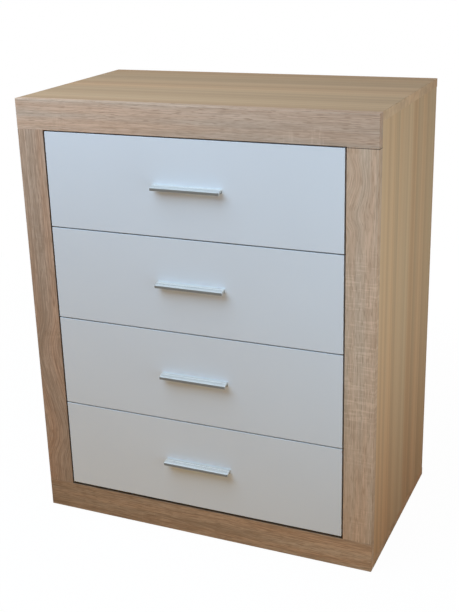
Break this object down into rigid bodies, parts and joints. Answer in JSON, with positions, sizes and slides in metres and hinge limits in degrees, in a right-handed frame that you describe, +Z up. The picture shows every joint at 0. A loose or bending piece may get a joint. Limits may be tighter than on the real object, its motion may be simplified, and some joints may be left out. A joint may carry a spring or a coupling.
{
  "type": "chest of drawers",
  "caption": "Upright chest of drawers with a thick light-oak front frame, flush white drawer fronts, slim metal ledge handles and roller runners.",
  "frame": {"origin": "on the floor, under the middle of the overall footprint, handles included", "axes": "+X to the right seen from the front, +Y to the back, +Z up"},
  "size_m": [0.7, 0.4154, 0.863],
  "materials": {
    "oak_board": "matte",
    "oak_frame": "matte",
    "white_front": "satin",
    "drawer_board": "matte",
    "hardboard": "matte",
    "beech": "matte",
    "handle_metal": "satin",
    "screw_steel": "satin",
    "runner_steel": "satin",
    "nylon": "matte",
    "glide_plastic": "matte"
  },
  "bodies": {
    "carcass": {"top_panel": "oak_board", "bottom_panel": "oak_board", "left_side": "oak_board", "right_side": "oak_board", "left_inner_side": "oak_board", "right_inner_side": "oak_board", "frame_top_rail": "oak_frame", "frame_bottom_rail": "oak_frame", "frame_left_stile": "oak_frame", "frame_right_stile": "oak_frame", "back_panel": "hardboard", "floor_glides": "glide_plastic", "case_dowels": "beech", "case_runners_1": "runner_steel", "case_runners_2": "runner_steel", "case_runners_3": "runner_steel", "case_runners_4": "runner_steel"},
    "drawer_1": {"drawer_1_front": "white_front", "drawer_1_left_side": "drawer_board", "drawer_1_right_side": "drawer_board", "drawer_1_back": "drawer_board", "drawer_1_bottom": "hardboard", "drawer_1_handle": "handle_metal", "drawer_1_handle_screws": "screw_steel", "drawer_1_runners": "runner_steel"},
    "drawer_1_rollers": {"drawer_1_rollers": "nylon"},
    "case_rollers_1": {"case_rollers_1": "nylon"},
    "drawer_2": {"drawer_2_front": "white_front", "drawer_2_left_side": "drawer_board", "drawer_2_right_side": "drawer_board", "drawer_2_back": "drawer_board", "drawer_2_bottom": "hardboard", "drawer_2_handle": "handle_metal", "drawer_2_handle_screws": "screw_steel", "drawer_2_runners": "runner_steel"},
    "drawer_2_rollers": {"drawer_2_rollers": "nylon"},
    "case_rollers_2": {"case_rollers_2": "nylon"},
    "drawer_3": {"drawer_3_front": "white_front", "drawer_3_left_side": "drawer_board", "drawer_3_right_side": "drawer_board", "drawer_3_back": "drawer_board", "drawer_3_bottom": "hardboard", "drawer_3_handle": "handle_metal", "drawer_3_handle_screws": "screw_steel", "drawer_3_runners": "runner_steel"},
    "drawer_3_rollers": {"drawer_3_rollers": "nylon"},
    "case_rollers_3": {"case_rollers_3": "nylon"},
    "drawer_4": {"drawer_4_front": "white_front", "drawer_4_left_side": "drawer_board", "drawer_4_right_side": "drawer_board", "drawer_4_back": "drawer_board", "drawer_4_bottom": "hardboard", "drawer_4_handle": "handle_metal", "drawer_4_handle_screws": "screw_steel", "drawer_4_runners": "runner_steel"},
    "drawer_4_rollers": {"drawer_4_rollers": "nylon"},
    "case_rollers_4": {"case_rollers_4": "nylon"}
  },
  "joints": [
    {"name": "drawer_1_slide", "type": "slide", "parent": "carcass", "child": "drawer_1", "axis": [0, -1, 0], "range_m": [0, 0.26]},
    {"name": "drawer_1_rollers_turn", "type": "hinge", "parent": "drawer_1", "child": "drawer_1_rollers", "pos_m": [0, 0.16175, 0.64705], "axis": [1, 0, 0], "continuous": true},
    {"name": "case_rollers_1_turn", "type": "hinge", "parent": "carcass", "child": "case_rollers_1", "pos_m": [0, -0.16225, 0.65195], "axis": [1, 0, 0], "continuous": true},
    {"name": "drawer_2_slide", "type": "slide", "parent": "carcass", "child": "drawer_2", "axis": [0, -1, 0], "range_m": [0, 0.26]},
    {"name": "drawer_2_rollers_turn", "type": "hinge", "parent": "drawer_2", "child": "drawer_2_rollers", "pos_m": [0, 0.16175, 0.4623], "axis": [1, 0, 0], "continuous": true},
    {"name": "case_rollers_2_turn", "type": "hinge", "parent": "carcass", "child": "case_rollers_2", "pos_m": [0, -0.16225, 0.4672], "axis": [1, 0, 0], "continuous": true},
    {"name": "drawer_3_slide", "type": "slide", "parent": "carcass", "child": "drawer_3", "axis": [0, -1, 0], "range_m": [0, 0.26]},
    {"name": "drawer_3_rollers_turn", "type": "hinge", "parent": "drawer_3", "child": "drawer_3_rollers", "pos_m": [0, 0.16175, 0.27755], "axis": [1, 0, 0], "continuous": true},
    {"name": "case_rollers_3_turn", "type": "hinge", "parent": "carcass", "child": "case_rollers_3", "pos_m": [0, -0.16225, 0.28245], "axis": [1, 0, 0], "continuous": true},
    {"name": "drawer_4_slide", "type": "slide", "parent": "carcass", "child": "drawer_4", "axis": [0, -1, 0], "range_m": [0, 0.26]},
    {"name": "drawer_4_rollers_turn", "type": "hinge", "parent": "drawer_4", "child": "drawer_4_rollers", "pos_m": [0, 0.16175, 0.0928], "axis": [1, 0, 0], "continuous": true},
    {"name": "case_rollers_4_turn", "type": "hinge", "parent": "carcass", "child": "case_rollers_4", "pos_m": [0, -0.16225, 0.0977], "axis": [1, 0, 0], "continuous": true}
  ],
  "couplings": [
    {"joint": "drawer_1_rollers_turn", "follows": "drawer_1_slide", "rad_per_m": 111.11},
    {"joint": "case_rollers_1_turn", "follows": "drawer_1_slide", "rad_per_m": 111.11},
    {"joint": "drawer_2_rollers_turn", "follows": "drawer_2_slide", "rad_per_m": 111.11},
    {"joint": "case_rollers_2_turn", "follows": "drawer_2_slide", "rad_per_m": 111.11},
    {"joint": "drawer_3_rollers_turn", "follows": "drawer_3_slide", "rad_per_m": 111.11},
    {"joint": "case_rollers_3_turn", "follows": "drawer_3_slide", "rad_per_m": 111.11},
    {"joint": "drawer_4_rollers_turn", "follows": "drawer_4_slide", "rad_per_m": 111.11},
    {"joint": "case_rollers_4_turn", "follows": "drawer_4_slide", "rad_per_m": 111.11}
  ]
}
